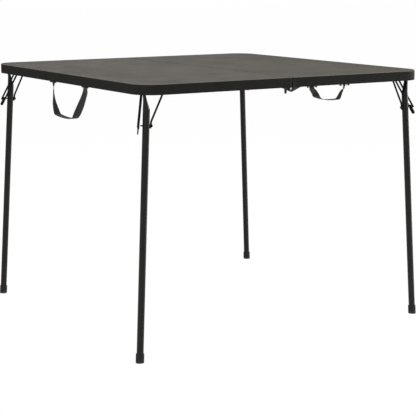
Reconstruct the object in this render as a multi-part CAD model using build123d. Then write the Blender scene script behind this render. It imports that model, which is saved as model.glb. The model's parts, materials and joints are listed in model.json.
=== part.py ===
from build123d import *
from math import cos, hypot, radians, sin
import os

# Folding card table: a square moulded top in two halves that fold face down against each
# other, on four tube legs that fold into the hollow undersides. Sizes are in millimetres.
# It stands open, +Z up, with the origin on the floor under the middle of the top, the front
# edge at negative y and the seam between the halves along y at x = 0.

os.makedirs("parts", exist_ok=True)

# Whole table
side = 952.0
height = 745.5
corner_radius = 62.0
rim_depth = 29.0

# Moulded halves
skin = 4.0
rim_wall = 4.5
top_edge_radius = 2.2
rim_edge_radius = 1.0
seam_gap = 1.0
rib_wall = 3.0
rib_step = 17.0
leg_bay_width = 114.0
long_rib_shares = (0.262, 0.458, 0.724, 1.0)
cross_rib_shares = (-0.8, -0.4, 0.0, 0.4, 0.8)

# Centre hinges, one at each end of the seam
fold_drop = 4.0
hinge_plate = 2.5
hinge_lug_radius = 8.5
hinge_reach = 31.0
hinge_arm_reach = 46.0
hinge_arm_rise = 13.0
hinge_screw_edge = 6.0
hinge_screw_pitch = 13.0
hinge_spacer_start = 14.5
hinge_notch_margin = 1.0
eyelet_radius = 4.9
eyelet_bore_radius = 3.7
eyelet_head_radius = 6.4
eyelet_head = 0.9

# Catch lever beside each centre hinge
catch_offset = 16.0
catch_width = 6.5
catch_thickness = 2.5
catch_head_radius = 4.0
catch_drop = 13.5
catch_pivot_rise = 7.5
catch_pin_radius = 1.5
catch_pin_head_radius = 2.6
catch_pin_head = 1.0

# Legs
leg_radius = 9.5
leg_wall = 1.2
leg_inset_side = 37.4
leg_inset_end = 42.6
splay_side_share = 0.0554
splay_end_share = 0.0278
inner_lay_angle = 4.5
outer_lay_angle = -1.5
taper_start = 49.0
taper_end = 12.0
tab_thickness = 5.0
tab_width = 13.0
tab_edge_radius = 1.6
tab_lean = 6.8
foot_radius = 11.5
foot_height = 25.0
foot_sole = 5.0
foot_edge_radius = 1.5

# Leg hinge and its bracket
rod_radius = 3.0
rod_head_radius = 4.6
rod_head = 1.5
rod_overhang = 0.8
bracket_sheet = 1.5
bracket_width = 28.0
bracket_margin = 5.0
ear_width = 15.0
ear_clearance = 1.6
screw_radius = 2.0
screw_head_radius = 3.8
screw_head = 1.4
screw_bite = 2.4

# Side stay, a bent wire pinned to the leg
wire_radius = 2.7
wire_bend_radius = 6.0
stay_reach = 53.0
stay_kink_drop = 79.0
stay_kink_offset = 14.7
stay_low_drop = 98.0
stay_low_offset = 12.3
stay_eye_radius = 5.2
stay_eye_length = 8.0
stay_boss_radius = 4.2
stay_boss_end = 16.2

# Cross pin through leg and stay
pin_radius = 2.0
pin_drop = 91.0
pin_reach = 15.5
pin_head_radius = 3.6
pin_head = 1.6

# Lock links, two wires that hang side by side from one bearing
link_lean_across_share = 0.32
link_lean_inward_share = 0.492
lock_wire_across = 3.1
lock_wire_inward = 41.4
lock_wire_drop = 106.0
lock_bar_across = 8.9
lock_bar_inward = 51.4
lock_bar_drop = 112.0
grip_start_drop = 100.0
grip_length = 30.0
grip_width = 9.4
grip_thickness = 2.4
grip_lead = 2.6
bearing_start = 15.0
bearing_length = 9.0
bearing_margin = 3.0
bearing_wall = 1.5
bearing_foot = 11.0
bearing_foot_sheet = 1.5
link_overhang = 3.0

# Webbing handles
strap_width = 24.0
strap_thickness = 2.0
strap_bend_radius = 14.0
strap_pivot_inset = 8.5
strap_pivot_drop = 2.6
strap_lug_radius = 1.9
strap_pin_radius = 1.0
strap_side_gap = 2.2
anchor_sheet = 1.6
anchor_rise = 14.0
anchor_ear = 1.5
anchor_ear_end = 1.8
side_strap_start = -138.0
side_strap_end = 66.0
side_strap_fall = 92.0
side_strap_low_shares = (0.22, 0.955)
front_strap_start = 72.0
front_strap_end = 187.0
front_strap_fall = 33.0
front_strap_low_shares = (0.20, 0.80)

# Clearances
running = 0.05
near = 0.3
overrun = 5.0

half = side / 2
wall_face = half - rim_wall
rim_bottom = height - rim_depth
ceiling = height - skin
rib_depth = rim_depth - skin - rib_step
rib_field_end = half - leg_bay_width
fold_axis_height = rim_bottom - fold_drop
link_axis_height = ceiling - near - wire_radius
leg_axis_height = link_axis_height - wire_radius - leg_radius - 4 * near
left_leaf_lift = hinge_plate + near
hinge_screw_far = hinge_arm_reach - hinge_screw_edge
hinge_screw_near = hinge_screw_far - hinge_screw_pitch
tab_outer = -tab_lean - tab_thickness / 2
ear_outer = tab_outer - ear_clearance - bracket_sheet
ear_inner = tab_outer + tab_thickness + ear_clearance
ear_far = stay_reach + ear_clearance
ear_swing = hypot(strap_pivot_inset - rim_wall, anchor_ear_end)


def save(node, *shapes):
    """Write one named piece, or a group of identical pieces."""
    solids = [solid for shape in shapes for solid in shape.solids()]
    whole = solids[0] if len(solids) == 1 else Compound(children=solids)
    export_step(whole, f"parts/{node}.step")


def bar(start, end, radius):
    """Round bar between two points."""
    run = end - start
    return extrude(Plane(origin=start, z_dir=run) * Circle(radius), amount=run.length)


def bent_wire(*points):
    """Brace wire along straight runs, bent where they meet."""
    path = FilletPolyline(*points, radius=wire_bend_radius)
    return sweep(Plane(origin=path @ 0, z_dir=path % 0) * Circle(wire_radius), path=path)


def screw(seat, grip):
    """Pan-head screw with its head on the seat plane and its shank along the plane's z."""
    shank = extrude(seat * Circle(screw_radius), amount=grip + screw_bite)
    return shank + extrude(seat * Circle(screw_head_radius), amount=-screw_head)


def screw_hole(seat, grip):
    return extrude(seat * Circle(screw_radius + running), amount=grip + screw_bite + near)


class Corner:
    """Frame of one leg hinge at the front left corner, before it is mirrored to its place.

    Across runs along the hinge rod, inward is the way the leg folds, and down is the way
    the splayed leg points when it stands.
    """

    def __init__(self, lay_angle):
        self.down = Vector(-splay_side_share, -splay_end_share, -1).normalized()
        lay = radians(lay_angle)
        swing = Vector(sin(lay), cos(lay), 0) - self.down
        self.inward = Vector(swing.X, swing.Y, 0).normalized()
        self.across = Vector(self.inward.Y, -self.inward.X, 0)
        self.beside = (self.across - self.down * self.across.dot(self.down)).normalized()
        self.hinge = Vector(leg_inset_side - half, leg_inset_end - half, leg_axis_height)
        self.length = -leg_axis_height / self.down.Z

    def at(self, across, inward, level):
        """Point given by its offsets from the hinge and its height above the floor."""
        place = self.hinge + self.across * across + self.inward * inward
        return Vector(place.X, place.Y, level)

    def level(self, across, inward, height_above_floor):
        """Level plane, its x across and its y inward."""
        origin = self.at(across, inward, height_above_floor)
        return Plane(origin=origin, x_dir=self.across, z_dir=(0, 0, 1))

    def upright(self, across):
        """Upright plane square to the hinge rod, its x inward and its y up."""
        origin = self.hinge + self.across * across
        return Plane(origin=origin, x_dir=self.inward, z_dir=self.across)

    def on_leg(self, along, offset=0.0):
        """Point beside the leg's centre line."""
        return self.hinge + self.down * along + self.beside * offset

    def leg_plane(self, along):
        """Plane square to the leg, its x beside and its z down the leg."""
        return Plane(origin=self.on_leg(along), x_dir=self.beside, z_dir=self.down)


def half_outline(inset):
    """Plan of the right half, drawn inside its outline by the inset."""
    width = side - 2 * inset
    whole = RectangleRounded(width, width, corner_radius - inset)
    kept = Pos(seam_gap / 2 + inset + half, 0) * Rectangle(side, side + overrun)
    return whole & kept


def ribs():
    """Rib grid that leaves the strip along the outer side free for the folded legs."""
    start = seam_gap / 2 + rim_wall
    field = rib_field_end - start
    middle = ceiling - rib_depth / 2
    grid = []
    for share in long_rib_shares:
        place = Pos(start + field * share - rib_wall / 2, 0, middle)
        grid.append(place * Box(rib_wall, 2 * wall_face, rib_depth))
    for share in cross_rib_shares:
        place = Pos(start + field / 2, share * half, middle)
        grid.append(place * Box(field, rib_wall, rib_depth))
    return grid


def hinge_notches():
    """Room cut from the seam walls for the centre hinges."""
    width = 2 * (rim_wall + seam_gap / 2 + hinge_notch_margin)
    depth = left_leaf_lift + hinge_plate + near + eyelet_head + hinge_notch_margin
    top = fold_axis_height + fold_drop + hinge_arm_rise + hinge_notch_margin
    low = rim_bottom - overrun
    notch = Box(width, depth, top - low)
    return [Pos(0, sign * (wall_face - depth / 2), (top + low) / 2) * notch for sign in (-1, 1)]


def panel():
    """Right half of the top: skin, rim all round and stiffening ribs."""
    body = extrude(Pos(0, 0, rim_bottom) * half_outline(0.0), amount=rim_depth)
    body = fillet(body.faces().sort_by(Axis.Z)[-1].edges(), top_edge_radius)
    body = fillet(body.faces().sort_by(Axis.Z)[0].edges(), rim_edge_radius)
    hollow = Pos(0, 0, rim_bottom - overrun) * half_outline(rim_wall)
    body -= extrude(hollow, amount=rim_depth - skin + overrun)
    for rib in ribs():
        body += rib
    for notch in hinge_notches():
        body -= notch
    return body


def leg_tube(corner):
    """Tube with its top end pinched to a flat tab for the hinge rod."""
    end = corner.length - foot_sole
    tube = extrude(corner.leg_plane(taper_start) * Circle(leg_radius), amount=end - taper_start)
    flat = Pos(-tab_lean, 0) * RectangleRounded(tab_thickness, tab_width, tab_edge_radius)
    neck = [corner.leg_plane(taper_end) * flat, corner.leg_plane(taper_start) * Circle(leg_radius)]
    tube += loft(neck)
    tube += extrude(corner.leg_plane(0.0) * flat, amount=taper_end)
    eye = Plane(origin=corner.on_leg(0.0, tab_outer), x_dir=corner.down, z_dir=corner.beside)
    tube += extrude(eye * Circle(tab_width / 2), amount=tab_thickness)
    bore = Circle(leg_radius - leg_wall)
    tube -= extrude(corner.leg_plane(taper_start) * bore, amount=corner.length)
    tube -= bar(corner.hinge - corner.across * tab_width, corner.hinge + corner.across * tab_width,
                rod_radius + running)
    tube -= bar(corner.on_leg(pin_drop, -leg_radius - overrun),
                corner.on_leg(pin_drop, leg_radius + overrun), pin_radius + running)
    return tube


def foot_cap(corner):
    """Rubber cap whose sole is cut level with the floor."""
    top = corner.leg_plane(corner.length - foot_height)
    cap = extrude(top * Circle(foot_radius), amount=foot_height + overrun)
    rim = cap.edges().filter_by(GeomType.CIRCLE).sort_by(Axis.Z)[-1]
    cap = fillet(rim, foot_edge_radius)
    cap -= extrude(top * Circle(leg_radius + running), amount=foot_height - foot_sole)
    floor = Pos(corner.on_leg(corner.length).X, corner.on_leg(corner.length).Y, -foot_height)
    return cap - floor * Box(4 * foot_radius, 4 * foot_radius, 2 * foot_height)


def side_stay(corner):
    """Wire from the far end of the hinge rod to a pinned boss on the leg."""
    rod_eye = corner.hinge + corner.across * (stay_reach - stay_eye_length)
    rod_end = corner.hinge + corner.across * stay_reach
    top = corner.hinge + corner.across * (stay_reach - stay_eye_length / 2)
    kink = corner.on_leg(stay_kink_drop, stay_kink_offset)
    low = corner.on_leg(stay_low_drop, stay_low_offset)
    stay = bar(rod_eye, rod_end, stay_eye_radius) + bent_wire(top, kink, low)
    boss_start = corner.on_leg(pin_drop, leg_radius + running)
    stay += bar(boss_start, corner.on_leg(pin_drop, stay_boss_end), stay_boss_radius)
    stay -= bar(rod_eye - corner.across * overrun, rod_end + corner.across * overrun,
                rod_radius + running)
    stay -= bar(corner.on_leg(pin_drop, 0.0), corner.on_leg(pin_drop, stay_boss_end + overrun),
                pin_radius + running)
    return stay


def cross_pin(corner):
    """Pin through stay and leg; its free end stops just short of the lock wire."""
    head = corner.on_leg(pin_drop, stay_boss_end + pin_head)
    seat = corner.on_leg(pin_drop, stay_boss_end)
    return bar(seat, corner.on_leg(pin_drop, -pin_reach), pin_radius) + bar(head, seat, pin_head_radius)


def hinge_rod(corner):
    """Rod that turns in the bracket's ears, headed at both ends."""
    low = corner.hinge + corner.across * (ear_outer - rod_overhang)
    high = corner.hinge + corner.across * (ear_far + bracket_sheet + rod_overhang)
    head = corner.across * rod_head
    rod = bar(low, high, rod_radius)
    return rod + bar(low - head, low, rod_head_radius) + bar(high, high + head, rod_head_radius)


def bracket_seats(corner):
    """Screw places on the bracket's base."""
    seats = []
    for across in (ear_inner + bracket_sheet + screw_head_radius + ear_clearance,
                   ear_far - screw_head_radius - ear_clearance):
        for way in (-1, 1):
            inward = way * (bracket_width / 2 - screw_head_radius - near)
            seats.append(corner.level(across, inward, ceiling - bracket_sheet))
    return seats


def leg_bracket(corner):
    """Folded sheet bracket under the skin, with three ears for the hinge rod."""
    start = ear_outer - bracket_margin
    length = ear_far + bracket_sheet + bracket_margin - start
    base = corner.level(start + length / 2, 0.0, ceiling - bracket_sheet)
    bracket = extrude(base * Rectangle(length, bracket_width), amount=bracket_sheet)
    rise = ceiling - leg_axis_height
    ear = Circle(ear_width / 2) + Pos(0, rise / 2) * Rectangle(ear_width, rise)
    ear -= Circle(rod_radius + running)
    for across in (ear_outer, ear_inner, ear_far):
        bracket += extrude(corner.upright(across) * ear, amount=bracket_sheet)
    for seat in bracket_seats(corner):
        bracket -= screw_hole(seat, bracket_sheet)
    return bracket


def link_direction(corner):
    """Way the lock links hang when the table stands."""
    lean = corner.across * -link_lean_across_share + corner.inward * -link_lean_inward_share
    return lean + Vector(0, 0, -1)


def link_wire(corner, across, inward, drop):
    """Wire with a level end that turns in the bearing and a leaning end beside the leg."""
    elbow = corner.at(across, inward, link_axis_height)
    free = corner.at(bearing_start + bearing_length + link_overhang, inward, link_axis_height)
    tip = elbow + link_direction(corner) * drop
    return bent_wire(free, elbow, tip)


def lock_wire(corner):
    return link_wire(corner, lock_wire_across, lock_wire_inward, lock_wire_drop)


def lock_bar(corner):
    """Second link wire, with a flat finger grip at its lower end."""
    body = link_wire(corner, lock_bar_across, lock_bar_inward, lock_bar_drop)
    run = link_direction(corner)
    gap = (corner.across * (lock_bar_across - lock_wire_across)
           + corner.inward * (lock_bar_inward - lock_wire_inward))
    width = (gap - run * (gap.dot(run) / run.dot(run))).normalized()
    elbow = corner.at(lock_bar_across, lock_bar_inward, link_axis_height)
    middle = elbow + run * grip_start_drop + run.normalized() * (grip_length / 2)
    middle += width * (grip_lead - grip_width / 2)
    plane = Plane(origin=middle, x_dir=run, z_dir=run.cross(width))
    outline = SlotOverall(grip_length, grip_width)
    return body + extrude(plane * outline, amount=grip_thickness / 2, both=True)


def bearing_seat(corner):
    across = bearing_start + bearing_length + bearing_foot - screw_head_radius - near
    return corner.level(across, (lock_wire_inward + lock_bar_inward) / 2,
                        ceiling - bearing_foot_sheet)


def link_bearing(corner):
    """Block under the skin in which both link wires turn, with a foot for its screw."""
    depth = near + 2 * wire_radius + bearing_wall
    width = lock_bar_inward - lock_wire_inward + 2 * (wire_radius + bearing_margin)
    middle = (lock_wire_inward + lock_bar_inward) / 2
    block = corner.level(bearing_start + bearing_length / 2, middle, ceiling - depth)
    body = extrude(block * Rectangle(bearing_length, width), amount=depth)
    foot_middle = bearing_start + (bearing_length + bearing_foot) / 2
    foot = corner.level(foot_middle, middle, ceiling - bearing_foot_sheet)
    body += extrude(foot * Rectangle(bearing_length + bearing_foot, width),
                    amount=bearing_foot_sheet)
    for inward in (lock_wire_inward, lock_bar_inward):
        body -= bar(corner.at(0.0, inward, link_axis_height),
                    corner.at(bearing_start + 2 * bearing_length, inward, link_axis_height),
                    wire_radius + running)
    return body - screw_hole(bearing_seat(corner), bearing_foot_sheet)


def leg_screw_holes(corner):
    """Holes that the leg's bracket and bearing screws need in the skin."""
    holes = [screw_hole(seat, bracket_sheet) for seat in bracket_seats(corner)]
    return holes + [screw_hole(bearing_seat(corner), bearing_foot_sheet)]


def front_face(y, x=0.0):
    """Plane facing the front, level with the fold axis, its y up."""
    return Plane(origin=(x, y, fold_axis_height), x_dir=(1, 0, 0), z_dir=(0, -1, 0))


def leaf_outline():
    """Right hinge leaf: a lug round the fold axis, a tapering web and an arm up the rim."""
    lug = Circle(hinge_lug_radius)
    arm = Pos(hinge_arm_reach / 2, fold_drop + hinge_arm_rise / 2)
    top = Pos(hinge_reach / 2, fold_drop) * Rectangle(hinge_reach, rim_edge_radius)
    web = make_hull(lug.edges() + top.edges())
    return lug + web + arm * Rectangle(hinge_arm_reach, hinge_arm_rise)


def leaf_seats(lift, way):
    """Screw places on a leaf at the front end, on the right for way 1, on the left for -1."""
    face = lift + hinge_plate - wall_face
    rise = fold_axis_height + fold_drop + hinge_arm_rise / 2
    return [Plane(origin=(way * x, face, rise), x_dir=(1, 0, 0), z_dir=(0, -1, 0))
            for x in (hinge_screw_near, hinge_screw_far)]


def right_leaf():
    """Leaf on the right half, against the rim, with a counterbore for the eyelet's head."""
    outline = leaf_outline() - Circle(eyelet_radius + running)
    leaf = extrude(front_face(-wall_face) * outline, amount=-hinge_plate)
    recess = front_face(-wall_face) * Circle(eyelet_head_radius + near)
    leaf -= extrude(recess, amount=-(eyelet_head + 2 * near))
    for seat in leaf_seats(0.0, 1):
        leaf -= screw_hole(seat, hinge_plate)
    return leaf


def left_leaf():
    """Leaf on the left half, behind the right one, with a spacer to the rim."""
    outline = mirror(leaf_outline(), about=Plane.YZ) - Circle(eyelet_radius + running)
    leaf = extrude(front_face(left_leaf_lift - wall_face) * outline, amount=-hinge_plate)
    width = hinge_arm_reach - hinge_spacer_start
    pad = Pos(-hinge_spacer_start - width / 2, fold_drop + hinge_arm_rise / 2)
    pad *= Rectangle(width, hinge_arm_rise)
    leaf += extrude(front_face(-wall_face) * pad, amount=-left_leaf_lift)
    for seat in leaf_seats(left_leaf_lift, -1):
        leaf -= screw_hole(seat, left_leaf_lift + hinge_plate)
    return leaf - bar(catch_pivot(0.0), catch_pivot(2 * left_leaf_lift), catch_pin_radius + running)


def eyelet():
    """Hollow rivet in both leaves, which turns free in each."""
    ring = Circle(eyelet_head_radius) - Circle(eyelet_bore_radius)
    front = near - wall_face
    back = left_leaf_lift + hinge_plate + near - wall_face
    shank = Circle(eyelet_radius) - Circle(eyelet_bore_radius)
    body = extrude(front_face(front) * shank, amount=front - back)
    body += extrude(front_face(front) * ring, amount=-eyelet_head)
    return body + extrude(front_face(back) * ring, amount=-eyelet_head)


def catch_pivot(lift):
    return Vector(-catch_offset, lift - wall_face, fold_axis_height + catch_pivot_rise)


def catch_lever():
    """Flat lever that hangs behind the left leaf."""
    lift = left_leaf_lift + hinge_plate + near
    head = Pos(-catch_offset, catch_pivot_rise) * Circle(catch_head_radius)
    tip = Pos(-catch_offset, catch_width / 2 - catch_drop) * Circle(catch_width / 2)
    outline = make_hull(head.edges() + tip.edges())
    lever = extrude(front_face(lift - wall_face) * outline, amount=-catch_thickness)
    return lever - bar(catch_pivot(0.0), catch_pivot(2 * lift), catch_pin_radius + running)


def catch_pin():
    """Pin in the left leaf that carries the catch lever."""
    start = catch_pivot(left_leaf_lift)
    seat = catch_pivot(left_leaf_lift + hinge_plate + 2 * near + catch_thickness)
    pin = bar(start, seat, catch_pin_radius)
    return pin + bar(seat, seat + Vector(0, catch_pin_head, 0), catch_pin_head_radius)


def strap_frame(middle):
    """Plane of a handle at the left side, its x along the rim and its y up."""
    origin = (strap_pivot_inset - half, middle, rim_bottom - strap_pivot_drop)
    return Plane(origin=origin, x_dir=(0, 1, 0), z_dir=(1, 0, 0))


def handle(start, end, fall, low_shares):
    """Flat webbing loop with a pin lug at each end."""
    span = end - start
    frame = strap_frame(start)
    low = [(span * share, -fall) for share in low_shares]
    path = FilletPolyline((0, 0), *low, (span, 0), radius=strap_bend_radius)
    band = trace(path, line_width=strap_width)
    band -= Pos(span / 2, strap_width) * Rectangle(2 * span, 2 * strap_width)
    ear_room = Rectangle(strap_width, 2 * (ear_swing + near))
    for middle in (0.0, span):
        for way in (-1, 1):
            band -= Pos(middle + way * strap_width, 0) * ear_room
    body = extrude(frame * band, amount=strap_thickness / 2, both=True)
    ends = [frame.origin, frame.origin + Vector(0, span, 0)]
    half_lug = Vector(0, strap_width / 2, 0)
    for end in ends:
        body += bar(end - half_lug, end + half_lug, strap_lug_radius)
    for end in ends:
        body -= bar(end - 2 * half_lug, end + 2 * half_lug, strap_pin_radius + running)
    return body


def anchor_seat(middle):
    height_above_floor = rim_bottom + near + anchor_rise / 2
    origin = (rim_wall + anchor_sheet - half, middle, height_above_floor)
    return Plane(origin=origin, x_dir=(0, 1, 0), z_dir=(-1, 0, 0))


def anchor(middle):
    """Sheet clip on the inside of the rim with a pin for the handle's end."""
    inner = strap_width / 2 + strap_side_gap
    width = 2 * (inner + anchor_ear)
    low = rim_bottom - strap_pivot_drop - anchor_ear_end
    top = rim_bottom + near + anchor_rise
    plate = Pos(rim_wall + anchor_sheet / 2 - half, middle, top - anchor_rise / 2)
    body = plate * Box(anchor_sheet, width, anchor_rise)
    reach = strap_pivot_inset + anchor_ear_end - rim_wall
    for way in (-1, 1):
        place = Pos(rim_wall + reach / 2 - half, middle + way * (inner + anchor_ear / 2), (top + low) / 2)
        body += place * Box(reach, anchor_ear, top - low)
    centre = strap_frame(middle).origin
    arm = Vector(0, inner + anchor_ear / 2, 0)
    body += bar(centre - arm, centre + arm, strap_pin_radius)
    return body - screw_hole(anchor_seat(middle), anchor_sheet)


def to_front(shape):
    """Carry a piece from the left side of the table to its front edge."""
    return Rot(0, 0, 90) * shape


def all_back(shape):
    """Copy of a front piece at the back edge."""
    return mirror(shape, about=Plane.XZ)


def to_corner(shape, name):
    """Carry a front left piece to the named corner."""
    if name.startswith("back"):
        shape = mirror(shape, about=Plane.XZ)
    if name.endswith("right"):
        shape = mirror(shape, about=Plane.YZ)
    return shape


inner_corner = Corner(inner_lay_angle)
outer_corner = Corner(outer_lay_angle)
corners = {"front_left": inner_corner, "back_left": outer_corner,
           "front_right": outer_corner, "back_right": inner_corner}
side_strap_ends = (side_strap_start, side_strap_end)
front_strap_ends = (front_strap_start, front_strap_end)

half_top = panel()
left_top = mirror(half_top, about=Plane.YZ)
right_top = half_top
for name, corner in corners.items():
    for hole in leg_screw_holes(corner):
        if name.endswith("left"):
            left_top -= to_corner(hole, name)
        else:
            right_top -= to_corner(hole, name)
for seat in leaf_seats(left_leaf_lift, -1):
    hole = screw_hole(seat, left_leaf_lift + hinge_plate)
    left_top = left_top - hole - all_back(hole)
for seat in leaf_seats(0.0, 1):
    hole = screw_hole(seat, hinge_plate)
    right_top = right_top - hole - all_back(hole)
for middle in side_strap_ends:
    left_top -= screw_hole(anchor_seat(middle), anchor_sheet)
for middle in front_strap_ends:
    right_top -= to_front(screw_hole(anchor_seat(-middle), anchor_sheet))
save("left_panel", left_top)
save("right_panel", right_top)

for name, corner in corners.items():
    save(f"{name}_leg_tube", to_corner(leg_tube(corner), name))
    save(f"{name}_foot_cap", to_corner(foot_cap(corner), name))
    save(f"{name}_side_stay", to_corner(side_stay(corner), name))
    save(f"{name}_cross_pin", to_corner(cross_pin(corner), name))
    save(f"{name}_hinge_rod", to_corner(hinge_rod(corner), name))
    save(f"{name}_leg_bracket", to_corner(leg_bracket(corner), name))
    save(f"{name}_link_bearing", to_corner(link_bearing(corner), name))
    save(f"{name}_lock_wire", to_corner(lock_wire(corner), name))
    save(f"{name}_lock_bar", to_corner(lock_bar(corner), name))

for edge in ("left", "right"):
    screws = []
    for name, corner in corners.items():
        if name.endswith(edge):
            screws += [to_corner(screw(seat, bracket_sheet), name) for seat in bracket_seats(corner)]
            screws.append(to_corner(screw(bearing_seat(corner), bearing_foot_sheet), name))
    save(f"{edge}_leg_screws", *screws)

save("front_left_hinge_leaf", left_leaf())
save("front_right_hinge_leaf", right_leaf())
save("back_left_hinge_leaf", all_back(left_leaf()))
save("back_right_hinge_leaf", all_back(right_leaf()))
save("fold_rivets", eyelet(), all_back(eyelet()))
left_screws = [screw(seat, left_leaf_lift + hinge_plate) for seat in leaf_seats(left_leaf_lift, -1)]
right_screws = [screw(seat, hinge_plate) for seat in leaf_seats(0.0, 1)]
save("left_hinge_screws", *left_screws, *[all_back(piece) for piece in left_screws])
save("right_hinge_screws", *right_screws, *[all_back(piece) for piece in right_screws])
save("front_catch_lever", catch_lever())
save("back_catch_lever", all_back(catch_lever()))
save("catch_pins", catch_pin(), all_back(catch_pin()))

save("side_handle", handle(*side_strap_ends, side_strap_fall, side_strap_low_shares))
save("side_handle_anchors", *[anchor(middle) for middle in side_strap_ends])
save("side_handle_screws", *[screw(anchor_seat(middle), anchor_sheet) for middle in side_strap_ends])
front_loop = handle(-front_strap_end, -front_strap_start, front_strap_fall, front_strap_low_shares)
save("front_handle", to_front(front_loop))
save("front_handle_anchors", *[to_front(anchor(-middle)) for middle in front_strap_ends])
save("front_handle_screws",
     *[to_front(screw(anchor_seat(-middle), anchor_sheet)) for middle in front_strap_ends])
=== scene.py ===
import json
import math

import bmesh
import bpy
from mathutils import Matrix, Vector


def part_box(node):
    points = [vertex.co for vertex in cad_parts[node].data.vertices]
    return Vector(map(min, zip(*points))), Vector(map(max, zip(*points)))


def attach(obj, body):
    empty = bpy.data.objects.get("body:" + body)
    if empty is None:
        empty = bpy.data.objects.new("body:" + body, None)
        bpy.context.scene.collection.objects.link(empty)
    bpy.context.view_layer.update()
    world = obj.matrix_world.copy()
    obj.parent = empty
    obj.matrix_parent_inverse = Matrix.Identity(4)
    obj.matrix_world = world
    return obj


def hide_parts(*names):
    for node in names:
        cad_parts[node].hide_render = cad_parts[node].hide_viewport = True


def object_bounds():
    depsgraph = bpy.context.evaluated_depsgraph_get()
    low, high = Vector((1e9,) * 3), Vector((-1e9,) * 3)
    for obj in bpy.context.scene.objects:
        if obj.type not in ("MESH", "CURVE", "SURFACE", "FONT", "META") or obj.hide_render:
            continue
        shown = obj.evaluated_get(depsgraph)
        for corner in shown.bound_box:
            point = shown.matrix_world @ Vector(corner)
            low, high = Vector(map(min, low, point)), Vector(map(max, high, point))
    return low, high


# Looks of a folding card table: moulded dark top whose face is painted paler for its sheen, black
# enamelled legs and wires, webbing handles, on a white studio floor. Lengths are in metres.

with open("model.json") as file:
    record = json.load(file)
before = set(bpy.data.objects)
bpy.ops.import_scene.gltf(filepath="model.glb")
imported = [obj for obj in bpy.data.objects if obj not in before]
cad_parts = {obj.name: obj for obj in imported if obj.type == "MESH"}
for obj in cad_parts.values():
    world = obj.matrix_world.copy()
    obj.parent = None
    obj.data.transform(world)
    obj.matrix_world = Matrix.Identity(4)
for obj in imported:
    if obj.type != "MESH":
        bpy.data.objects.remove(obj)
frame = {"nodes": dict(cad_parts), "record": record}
nodes = frame["nodes"]
cad_low, cad_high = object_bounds()
cad_top_half = -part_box("left_panel")[0].x
scene = bpy.context.scene

# Camera, fitted to the top's edges and the feet
camera_place = (-2.1112, -3.3749, 1.0358)
camera_yaw = 0.5642
camera_pitch = 0.1818
camera_lens = 112.08
camera_sensor = 36.0
camera_clip = 100.0

# Studio: the world's light on the object, the floor, and how much of the floor is plain white
world_light = 0.55
floor_reach = 30.0
floor_glow_share = 0.985

# Moulded top: its rounded edge, which carries a painted highlight, and where the face, painted
# paler than the rim for its sheen, ends above the rim
corner_radius = 0.062
edge_radius = 0.0022
face_start = cad_high.z - edge_radius
corner_middle = (cad_top_half - corner_radius, cad_top_half - corner_radius,
                 cad_high.z + corner_radius)

# Seam: the painted shade of the dark line between the halves, and the painted highlights on the
# rounded lips of the rim beside it
seam_reach = 0.0030
seam_core = 0.4 * seam_reach
lip_reach = 0.0090

# Webbing
webbing_width = 0.0215
webbing_thickness = 0.0014
webbing_edge = 0.0007
pin_radius = 0.001
pin_clearance = 0.00005
pin_drop = 0.0026
pin_inset = 0.0085
tail_length = 0.010
tail_gap = 0.0008
strap_leave = webbing_thickness / 2 + 0.0003
loop_step_degrees = 20
strap_steps = 10
weft_scale = 210.0
warp_scale = 290.0

# Meshes
merge_distance = 0.00001
sharp_degrees = 40.0

# Depths of the surfaces' fine relief
grain_depth = 0.00022
peel_depth = 0.00003
steel_depth = 0.00004
rubber_depth = 0.00008
weave_depth = 0.00018

# Colours, linear
# Painted sheen: the top's face colour is the dark plastic painted pale, standing in for the sheen
# of its surroundings at a grazing angle
top_colour_with_painted_sheen = (0.083, 0.0755, 0.0640, 1.0)
# Painted highlight: lighter colour on the rounded outer edge of the top's face, where it would
# catch the light
edge_highlight_colour = (0.128, 0.120, 0.106, 1.0)
rim_colour = (0.0105, 0.0103, 0.0093, 1.0)
# Painted shade in the seam between the halves, and painted highlight on the rim's rounded lips
# beside it
seam_shade_colour = (0.0040, 0.0040, 0.0035, 1.0)
lip_highlight_colour = (0.020, 0.0195, 0.0180, 1.0)
enamel_colour = (0.0048, 0.0049, 0.0040, 1.0)
wire_colour = (0.0035, 0.0035, 0.0035, 1.0)
bracket_colour = (0.008, 0.008, 0.0078, 1.0)
hinge_colour = (0.016, 0.0155, 0.014, 1.0)
rubber_colour = (0.0085, 0.0085, 0.0085, 1.0)
webbing_colour = (0.0075, 0.0073, 0.0068, 1.0)
screw_colour = (0.02, 0.02, 0.019, 1.0)
worn_steel = (0.16, 0.155, 0.15, 1.0)
scuff_colour = (0.12, 0.117, 0.11, 1.0)
dust_colour = (0.07, 0.068, 0.062, 1.0)
floor_colour = (0.92, 0.92, 0.92, 1.0)
white = (1.0, 1.0, 1.0, 1.0)


def scaled(colour, share):
    """Colour times a share, opaque."""
    return tuple(share * c for c in colour[:3]) + (1.0,)


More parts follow.
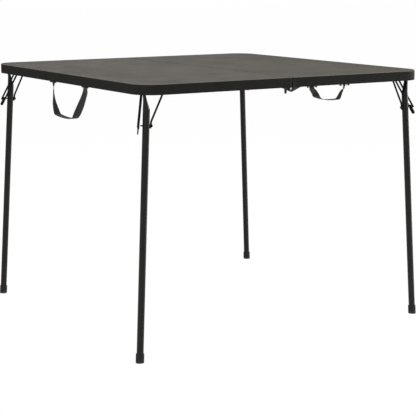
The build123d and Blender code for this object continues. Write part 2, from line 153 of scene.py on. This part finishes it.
class Shade:
    """Node tree of one material, with short helpers for its nodes."""

    def __init__(self, name, colour, roughness, metallic=0.0, specular=0.5):
        self.material = bpy.data.materials.new(name)
        self.material.use_nodes = True
        self.tree = self.material.node_tree
        self.shader = self.tree.nodes["Principled BSDF"]
        self.shader.inputs["Base Color"].default_value = colour
        self.shader.inputs["Roughness"].default_value = roughness
        self.shader.inputs["Metallic"].default_value = metallic
        self.shader.inputs["Specular IOR Level"].default_value = specular
        self.place = self.node("ShaderNodeTexCoord").outputs["Object"]

    def node(self, kind, **settings):
        made = self.tree.nodes.new(kind)
        for key, value in settings.items():
            setattr(made, key, value)
        return made

    def link(self, output, socket):
        self.tree.links.new(output, socket)

    def noise(self, scale, detail=2.0, roughness=0.5, stretch=None):
        """Noise factor at so many cells a metre, stretched along the axes if asked."""
        made = self.node("ShaderNodeTexNoise")
        made.inputs["Scale"].default_value = scale
        made.inputs["Detail"].default_value = detail
        made.inputs["Roughness"].default_value = roughness
        place = self.place
        if stretch:
            mapping = self.node("ShaderNodeMapping")
            mapping.inputs["Scale"].default_value = stretch
            self.link(place, mapping.inputs["Vector"])
            place = mapping.outputs["Vector"]
        self.link(place, made.inputs["Vector"])
        return made.outputs["Fac"]

    def cells(self, scale):
        """Distance to the nearest cell centre, for a pebble grain."""
        made = self.node("ShaderNodeTexVoronoi", feature="SMOOTH_F1")
        made.inputs["Scale"].default_value = scale
        self.link(self.place, made.inputs["Vector"])
        return made.outputs["Distance"]

    def spread(self, value, low, high, new_low, new_high):
        """Value carried from one range to another, and clamped there."""
        made = self.node("ShaderNodeMapRange")
        for key, number in (("From Min", low), ("From Max", high),
                            ("To Min", new_low), ("To Max", new_high)):
            made.inputs[key].default_value = number
        self.link(value, made.inputs["Value"])
        return made.outputs["Result"]

    def axis(self, name):
        made = self.node("ShaderNodeSeparateXYZ")
        self.link(self.place, made.inputs["Vector"])
        return made.outputs[name]

    def corner_distance(self):
        """Distance out from the middles of the rounded corners, largest at the rim's face."""
        vector = self.place
        steps = (("ABSOLUTE", None), ("SUBTRACT", corner_middle), ("MAXIMUM", (0.0, 0.0, 0.0)))
        for operation, offset in steps:
            made = self.node("ShaderNodeVectorMath", operation=operation)
            self.link(vector, made.inputs[0])
            if offset:
                made.inputs[1].default_value = offset
            vector = made.outputs["Vector"]
        made = self.node("ShaderNodeVectorMath", operation="LENGTH")
        self.link(vector, made.inputs[0])
        return made.outputs["Value"]

    def seam_distance(self):
        """Distance from the plane of the seam."""
        made = self.node("ShaderNodeMath", operation="ABSOLUTE")
        self.link(self.axis("X"), made.inputs[0])
        return made.outputs["Value"]

    def mix(self, factor, first, second):
        """Colour between two, each a colour or an output."""
        made = self.node("ShaderNodeMix", data_type="RGBA")
        self.link(factor, made.inputs["Factor"])
        for key, colour in (("A", first), ("B", second)):
            socket = [s for s in made.inputs if s.name == key and s.type == "RGBA"][0]
            if isinstance(colour, tuple):
                socket.default_value = colour
            else:
                self.link(colour, socket)
        return [s for s in made.outputs if s.type == "RGBA"][0]

    def multiply(self, first, second):
        made = self.node("ShaderNodeMath", operation="MULTIPLY")
        self.link(first, made.inputs[0])
        if isinstance(second, float):
            made.inputs[1].default_value = second
        else:
            self.link(second, made.inputs[1])
        return made.outputs["Value"]

    def add(self, first, second):
        made = self.node("ShaderNodeMath", operation="ADD")
        self.link(first, made.inputs[0])
        self.link(second, made.inputs[1])
        return made.outputs["Value"]

    def bump(self, height, depth):
        """Bump of a depth in metres from a factor of 0 to 1."""
        made = self.node("ShaderNodeBump")
        made.inputs["Strength"].default_value = 1.0
        made.inputs["Distance"].default_value = depth
        self.link(height, made.inputs["Height"])
        self.link(made.outputs["Normal"], self.shader.inputs["Normal"])

    def colour(self, output):
        self.link(output, self.shader.inputs["Base Color"])

    def roughness(self, output):
        self.link(output, self.shader.inputs["Roughness"])


def moulded_top():
    """Moulded plastic: pebbled face painted pale charcoal for the sheen the dark plastic shows at
    a grazing angle, smooth darker rim and underside; painted highlights on the rounded edge and
    beside the seam, painted shade in the seam.
    """
    shade = Shade("moulded_top", top_colour_with_painted_sheen, 0.7, specular=0.02)
    # Painted sheen: the face above the rim gets the paler top colour, the rim and underside keep
    # the plastic's dark colour
    face = shade.spread(shade.axis("Z"), face_start, face_start + 0.0004, 0.0, 1.0)
    tone = shade.noise(3.0, detail=3.0)
    top = shade.mix(shade.spread(tone, 0.35, 0.65, 0.0, 1.0),
                    scaled(top_colour_with_painted_sheen, 0.90), scaled(top_colour_with_painted_sheen, 1.12))
    scuffs = shade.noise(60.0, detail=4.0, stretch=(1.0, 0.12, 1.0))
    scuffed = shade.mix(shade.spread(scuffs, 0.68, 0.78, 0.0, 0.35), top, scuff_colour)
    rim_tone = shade.noise(25.0, detail=2.0)
    rim = shade.mix(rim_tone, rim_colour, scaled(rim_colour, 1.5))
    # Painted highlight on the rim's rounded lips beside the seam, then painted shade in the seam
    # itself on the rim and on the face
    away = shade.seam_distance()
    lip = shade.mix(shade.spread(away, lip_reach / 2, lip_reach, 1.0, 0.0), rim, lip_highlight_colour)
    rim = shade.mix(shade.spread(away, seam_core, seam_reach, 1.0, 0.0), lip, seam_shade_colour)
    top = shade.mix(shade.spread(away, seam_core, seam_reach, 0.7, 0.0), scuffed, seam_shade_colour)
    # Painted highlight along the rounded outer edge of the top's face
    painted_edge_highlight = shade.spread(shade.corner_distance(), corner_radius - edge_radius,
                         corner_radius - 0.5 * edge_radius, 0.0, 1.0)
    shade.colour(shade.mix(face, rim, shade.mix(painted_edge_highlight, top, edge_highlight_colour)))
    shade.roughness(shade.spread(shade.noise(14.0), 0.3, 0.7, 0.64, 0.76))
    grain = shade.cells(900.0)
    ripple = shade.multiply(shade.noise(7.0, detail=1.0), 3.0)
    shade.bump(shade.add(grain, ripple), grain_depth)
    return shade.material


def enamel(name, colour, roughness, specular, worn=0.5):
    """Sprayed enamel with a slight orange peel and a little wear."""
    shade = Shade(name, colour, roughness, specular=specular)
    wear = shade.spread(shade.noise(220.0, detail=4.0), 0.70, 0.80, 0.0, worn)
    shade.colour(shade.mix(wear, colour, scaled(colour, 3.0)))
    shade.roughness(shade.spread(shade.noise(90.0), 0.3, 0.7, roughness - 0.05, roughness + 0.07))
    shade.bump(shade.noise(650.0, detail=1.0), peel_depth)
    return shade.material


def blackened_steel(name, colour, roughness):
    """Blackened metal with bare patches where it rubs."""
    shade = Shade(name, colour, roughness, metallic=0.35, specular=0.4)
    patches = shade.spread(shade.noise(420.0, detail=5.0, roughness=0.7), 0.63, 0.72, 0.0, 0.45)
    shade.colour(shade.mix(patches, colour, worn_steel))
    shade.roughness(shade.spread(shade.noise(160.0, detail=3.0), 0.3, 0.7,
                                 roughness - 0.08, roughness + 0.1))
    shade.bump(shade.noise(900.0, detail=2.0), steel_depth)
    return shade.material


def rubber():
    """Matt rubber, dusty near the floor."""
    shade = Shade("foot_rubber", rubber_colour, 0.82, specular=0.25)
    low = shade.spread(shade.axis("Z"), 0.0, 0.010, 0.6, 0.0)
    dust = shade.multiply(shade.spread(shade.noise(260.0, detail=4.0), 0.4, 0.7, 0.0, 1.0), low)
    shade.colour(shade.mix(dust, rubber_colour, dust_colour))
    shade.bump(shade.noise(1400.0, detail=2.0), rubber_depth)
    return shade.material


def webbing():
    """Woven strap: ribs across it and a fine yarn along it, from its own length and width."""
    shade = Shade("webbing", webbing_colour, 0.78, specular=0.2)
    shade.shader.inputs["Sheen Weight"].default_value = 0.12
    shade.shader.inputs["Sheen Roughness"].default_value = 0.5
    shade.place = shade.node("ShaderNodeUVMap", uv_map="strap").outputs["UV"]
    weft = shade.node("ShaderNodeTexWave", wave_type="BANDS", bands_direction="X")
    weft.inputs["Scale"].default_value = weft_scale
    weft.inputs["Distortion"].default_value = 0.6
    warp = shade.node("ShaderNodeTexWave", wave_type="BANDS", bands_direction="Y")
    warp.inputs["Scale"].default_value = warp_scale
    warp.inputs["Distortion"].default_value = 0.4
    for wave in (weft, warp):
        shade.link(shade.place, wave.inputs["Vector"])
    woven = shade.add(weft.outputs["Fac"], warp.outputs["Fac"])
    shade.colour(shade.mix(shade.spread(woven, 0.4, 1.8, 0.0, 1.0),
                           webbing_colour, scaled(webbing_colour, 2.0)))
    shade.bump(woven, weave_depth)
    return shade.material


def paint(name, material):
    """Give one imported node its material."""
    data = nodes[name].data
    data.materials.clear()
    data.materials.append(material)


def mesh_object(name, points, faces, material, body):
    """New piece on a body, smooth but for its sharp edges."""
    mesh = bpy.data.meshes.new(name)
    mesh.from_pydata([tuple(p) for p in points], [], faces)
    mesh.update()
    piece = bpy.data.objects.new(name, mesh)
    scene.collection.objects.link(piece)
    mesh.materials.append(material)
    for face in mesh.polygons:
        face.use_smooth = True
    mesh.set_sharp_from_angle(angle=math.radians(sharp_degrees))
    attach(piece, body)
    return piece


def smooth_path(stations, steps):
    """Catmull-Rom line through stations, each a tuple of numbers."""
    first = tuple(2 * a - b for a, b in zip(stations[0], stations[1]))
    last = tuple(2 * a - b for a, b in zip(stations[-1], stations[-2]))
    row = [first, *stations, last]
    line = []
    for i in range(1, len(row) - 2):
        for k in range(steps):
            t = k / steps
            line.append(tuple(
                0.5 * (2 * b + (c - a) * t + (2 * a - 5 * b + 4 * c - d) * t * t
                       + (3 * b - a - 3 * c + d) * t ** 3)
                for a, b, c, d in zip(row[i - 1], row[i], row[i + 1], row[i + 2])))
    line.append(tuple(stations[-1]))
    return line


def strap_section():
    """Half width and half thickness shares round the webbing, with fuller selvedges."""
    side = webbing_width / 2
    thick = webbing_thickness / 2
    inner = side - 2 * webbing_edge
    upper = [(-side, 0.0), (-side + 0.4 * webbing_edge, 0.8 * thick),
             (-side + webbing_edge, thick), (-inner, 0.9 * thick), (-0.5 * inner, thick),
             (0.0, thick), (0.5 * inner, thick), (inner, 0.9 * thick),
             (side - webbing_edge, thick), (side - 0.4 * webbing_edge, 0.8 * thick)]
    lower = [(-x, -y) for x, y in upper]
    return upper + lower


def ribbon(name, body, line, material):
    """Webbing along a line of (point, width direction, share of the width), with its
    length and width as UVs."""
    section = strap_section()
    count = len(section)
    points, lengths = [], []
    run = 0.0
    for i, (point, across, gather) in enumerate(line):
        before = line[max(i - 1, 0)][0]
        after = line[min(i + 1, len(line) - 1)][0]
        tangent = (after - before).normalized()
        across = (across - tangent * across.dot(tangent)).normalized()
        normal = tangent.cross(across)
        if i:
            run += (point - line[i - 1][0]).length
        lengths.append(run)
        points += [point + across * (x * gather) + normal * y for x, y in section]
    faces = [tuple(reversed(range(count))), tuple(range(len(points) - count, len(points)))]
    for i in range(len(line) - 1):
        for k in range(count):
            after = (k + 1) % count
            here, there = i * count, (i + 1) * count
            faces.append((here + k, here + after, there + after, there + k))
    piece = mesh_object(name, points, faces, material, body)
    layer = piece.data.uv_layers.new(name="strap")
    for loop in piece.data.loops:
        i, k = divmod(loop.vertex_index, count)
        layer.data[loop.index].uv = (lengths[i], section[k][0])
    return piece


def hung_strap(name, body, pin_line, out, stations, material):
    """Handle of one length of webbing: round a pin, down, along, up and round the other pin.

    The pin line runs from the first pin's middle to the second's, out is the way it faces,
    and each station gives a share of that line, a drop, the turn of the width away from
    the pin line in degrees and the share of the width that is left where it bunches up.
    The strap has made half a turn where it reaches the second pin.
    """
    start, end = pin_line
    along = (end - start).normalized()
    span = (end - start).length
    down = Vector((0.0, 0.0, -1.0))
    turn_radius = pin_radius + pin_clearance + webbing_thickness / 2

    def end_loop(pin, across, gather):
        """From the sewn tail, over the pin, to where the strap leaves it downwards."""
        loop = []
        for drop in (tail_length, 0.66 * tail_length, 0.33 * tail_length):
            loop.append((pin - out * tail_gap + down * drop, across, gather))
        for degrees in range(0, 181, loop_step_degrees):
            angle = math.radians(degrees)
            point = (pin - out * (turn_radius * math.cos(angle))
                     - down * (turn_radius * math.sin(angle)))
            loop.append((point, across, gather))
        return loop

    line = end_loop(start, along, stations[0][-1])
    for share, drop, side, turn, gather in smooth_path(stations, strap_steps):
        angle = math.radians(turn)
        point = start + along * (span * share) + down * drop + out * side
        line.append((point, along * math.cos(angle) + out * math.sin(angle), gather))
    line += reversed(end_loop(end, -along, stations[-1][-1]))
    return ribbon(name, body, line, material)


def side_strap(material):
    """Handle below the left edge, its first pin the nearer one."""
    pins = pin_places("side_handle_anchors")
    out = Vector((-1.0, 0.0, 0.0))
    stations = [(0.000, 0.003, strap_leave, 0.0, 0.90), (0.003, 0.007, 0.001, 4.0, 0.92),
                (0.004, 0.012, 0.0, 10.0, 0.92), (0.052, 0.028, 0.0, 28.0, 0.78),
                (0.152, 0.054, 0.0, 48.0, 0.90), (0.255, 0.0775, 0.0, 68.0, 1.0),
                (0.310, 0.0890, 0.0, 84.0, 1.0), (0.350, 0.0938, 0.0, 90.0, 1.0),
                (0.45, 0.0966, 0.0, 90.0, 1.0), (0.60, 0.0970, 0.0, 90.0, 1.0),
                (0.75, 0.0955, 0.0, 90.0, 1.0), (0.855, 0.0930, 0.0, 91.0, 1.0),
                (0.895, 0.0900, 0.0, 95.0, 1.0), (0.930, 0.0800, 0.0, 106.0, 1.0),
                (0.982, 0.0580, 0.0, 129.0, 1.0), (1.000, 0.0380, 0.0, 144.0, 0.95),
                (1.003, 0.0220, 0.0, 150.0, 0.8), (1.001, 0.0120, 0.0, 162.0, 0.6),
                (1.000, 0.0070, 0.001, 176.0, 0.45), (1.000, 0.003, strap_leave, 180.0, 0.4)]
    strap = hung_strap("side_webbing", "side_handle", pins, out, stations, material)
    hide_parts("side_handle")


def front_strap(material):
    """Handle below the front edge, its first pin the left one."""
    pins = pin_places("front_handle_anchors")
    out = Vector((0.0, -1.0, 0.0))
    stations = [(0.000, 0.003, strap_leave, 0.0, 0.66), (0.006, 0.006, 0.001, 0.0, 0.68),
                (0.036, 0.0100, 0.0, 2.0, 0.74), (0.070, 0.0145, 0.0, 6.0, 0.82),
                (0.112, 0.0210, 0.0, 24.0, 0.84), (0.160, 0.0275, 0.0, 55.0, 0.92),
                (0.215, 0.0322, 0.0, 82.0, 1.0), (0.290, 0.0355, 0.0, 90.0, 1.0),
                (0.42, 0.0380, 0.0, 90.0, 1.0), (0.56, 0.0390, 0.0, 90.0, 1.0),
                (0.74, 0.0388, 0.0, 91.0, 1.0), (0.800, 0.0378, 0.0, 94.0, 1.0),
                (0.840, 0.0330, 0.0, 98.0, 1.0), (0.905, 0.0195, 0.0, 103.0, 0.82),
                (0.945, 0.0128, 0.0, 110.0, 0.66), (0.966, 0.0097, 0.0, 148.0, 0.34),
                (0.980, 0.0072, 0.0, 162.0, 0.30), (0.992, 0.0045, 0.0008, 172.0, 0.24),
                (1.000, 0.003, strap_leave, 180.0, 0.2)]
    strap = hung_strap("front_webbing", "front_handle", pins, out, stations, material)
    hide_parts("front_handle")


def islands(name):
    """Corner pairs of a node's separate solids, from its vertices."""
    data = bmesh.new()
    data.from_mesh(nodes[name].data)
    bmesh.ops.remove_doubles(data, verts=data.verts, dist=merge_distance)
    left = set(data.verts)
    found = []
    while left:
        stack = [left.pop()]
        group = []
        while stack:
            vertex = stack.pop()
            group.append(vertex.co.copy())
            for edge in vertex.link_edges:
                other = edge.other_vert(vertex)
                if other in left:
                    left.remove(other)
                    stack.append(other)
        low = Vector(min(p[i] for p in group) for i in range(3))
        high = Vector(max(p[i] for p in group) for i in range(3))
        found.append((low, high))
    data.free()
    return sorted(found, key=lambda item: tuple(item[0] + item[1]))


def pin_places(name):
    """Middles of the two pins of a pair of handle clips."""
    rim_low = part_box("left_panel")[0]
    places = []
    for low, high in islands(name):
        middle = (low + high) / 2
        if name.startswith("side"):
            places.append(Vector((rim_low.x + pin_inset, middle.y, rim_low.z - pin_drop)))
        else:
            places.append(Vector((middle.x, rim_low.y + pin_inset, rim_low.z - pin_drop)))
    return places


def studio_world():
    """White to the camera and in reflections, plain grey light on the object."""
    world = bpy.data.worlds.new("studio")
    scene.world = world
    world.use_nodes = True
    tree = world.node_tree
    background = tree.nodes["Background"]
    background.inputs["Color"].default_value = white
    path = tree.nodes.new("ShaderNodeLightPath")
    seen = tree.nodes.new("ShaderNodeMath")
    seen.operation = "ADD"
    seen.use_clamp = True
    also = tree.nodes.new("ShaderNodeMath")
    also.operation = "ADD"
    also.use_clamp = True
    tree.links.new(path.outputs["Is Camera Ray"], seen.inputs[0])
    tree.links.new(path.outputs["Is Glossy Ray"], seen.inputs[1])
    tree.links.new(seen.outputs[0], also.inputs[0])
    tree.links.new(path.outputs["Is Transmission Ray"], also.inputs[1])
    strength = tree.nodes.new("ShaderNodeMapRange")
    strength.inputs["To Min"].default_value = world_light
    strength.inputs["To Max"].default_value = 1.0
    tree.links.new(also.outputs[0], strength.inputs["Value"])
    tree.links.new(strength.outputs["Result"], background.inputs["Strength"])


def soft_light(name, place, target, size, power):
    """Square softbox that faces a point."""
    data = bpy.data.lights.new(name, "AREA")
    data.size = size
    data.energy = power
    light = bpy.data.objects.new(name, data)
    scene.collection.objects.link(light)
    light.location = place
    light.rotation_mode = "QUATERNION"
    light.rotation_quaternion = (Vector(target) - Vector(place)).to_track_quat("-Z", "Y")


def floor():
    """White floor that keeps a faint shadow."""
    mesh = bpy.data.meshes.new("floor")
    corners = [(x * floor_reach, y * floor_reach, 0.0)
               for x, y in ((-1, -1), (1, -1), (1, 1), (-1, 1))]
    mesh.from_pydata(corners, [], [(0, 1, 2, 3)])
    ground = bpy.data.objects.new("floor", mesh)
    scene.collection.objects.link(ground)
    material = bpy.data.materials.new("floor")
    material.use_nodes = True
    tree = material.node_tree
    tree.nodes.clear()
    output = tree.nodes.new("ShaderNodeOutputMaterial")
    diffuse = tree.nodes.new("ShaderNodeBsdfDiffuse")
    diffuse.inputs["Color"].default_value = floor_colour
    glow = tree.nodes.new("ShaderNodeEmission")
    glow.inputs["Color"].default_value = white
    glow.inputs["Strength"].default_value = 1.0
    share = tree.nodes.new("ShaderNodeMixShader")
    path = tree.nodes.new("ShaderNodeLightPath")
    lit = tree.nodes.new("ShaderNodeMapRange")
    lit.inputs["To Min"].default_value = 0.0
    lit.inputs["To Max"].default_value = floor_glow_share
    tree.links.new(path.outputs["Is Camera Ray"], lit.inputs["Value"])
    tree.links.new(lit.outputs["Result"], share.inputs["Fac"])
    tree.links.new(diffuse.outputs["BSDF"], share.inputs[1])
    tree.links.new(glow.outputs["Emission"], share.inputs[2])
    tree.links.new(share.outputs["Shader"], output.inputs["Surface"])
    mesh.materials.append(material)


def camera():
    data = bpy.data.cameras.new("camera")
    data.sensor_width = camera_sensor
    data.lens = camera_lens
    data.clip_end = camera_clip
    seen = bpy.data.objects.new("camera", data)
    scene.collection.objects.link(seen)
    seen.location = camera_place
    seen.rotation_euler = (math.pi / 2 - camera_pitch, 0.0, -camera_yaw)
    scene.camera = seen


camera()
studio_world()
floor()
# Softboxes: place, the point each faces, side in metres and power in watts
soft_light("key", (-2.8, -1.4, 2.2), (0.0, 0.0, 0.5), 1.3, 70.0)
soft_light("fill", (2.3, -1.4, 1.3), (0.4, -0.4, 0.7), 1.0, 62.0)
soft_light("edge", (3.4, -0.2, 1.0), (0.4, -0.4, 0.7), 1.0, 45.0)
soft_light("back", (1.0, 3.0, 2.4), (0.0, 0.0, 0.6), 2.0, 30.0)
scene.view_settings.view_transform = "Standard"

finishes = {
    "moulded_top": moulded_top(),
    "leg_enamel": enamel("leg_enamel", enamel_colour, 0.30, 0.20),
    "foot_rubber": rubber(),
    "webbing": webbing(),
    "screw_steel": blackened_steel("screw_steel", screw_colour, 0.38),
    "bracket_steel": enamel("bracket_steel", bracket_colour, 0.5, 0.25),
    "hinge_steel": enamel("hinge_steel", hinge_colour, 0.48, 0.3),
    "bearing_plastic": enamel("bearing_plastic", bracket_colour, 0.6, 0.25),
    "pin_steel": blackened_steel("pin_steel", bracket_colour, 0.4),
    "brace_wire": enamel("brace_wire", wire_colour, 0.45, 0.06, worn=0.1),
}
slots = {row["node"]: row["material_slot"] for row in frame["record"]["subparts"]}
for node in nodes:
    paint(node, finishes[slots[node]])

side_strap(finishes["webbing"])
front_strap(finishes["webbing"])
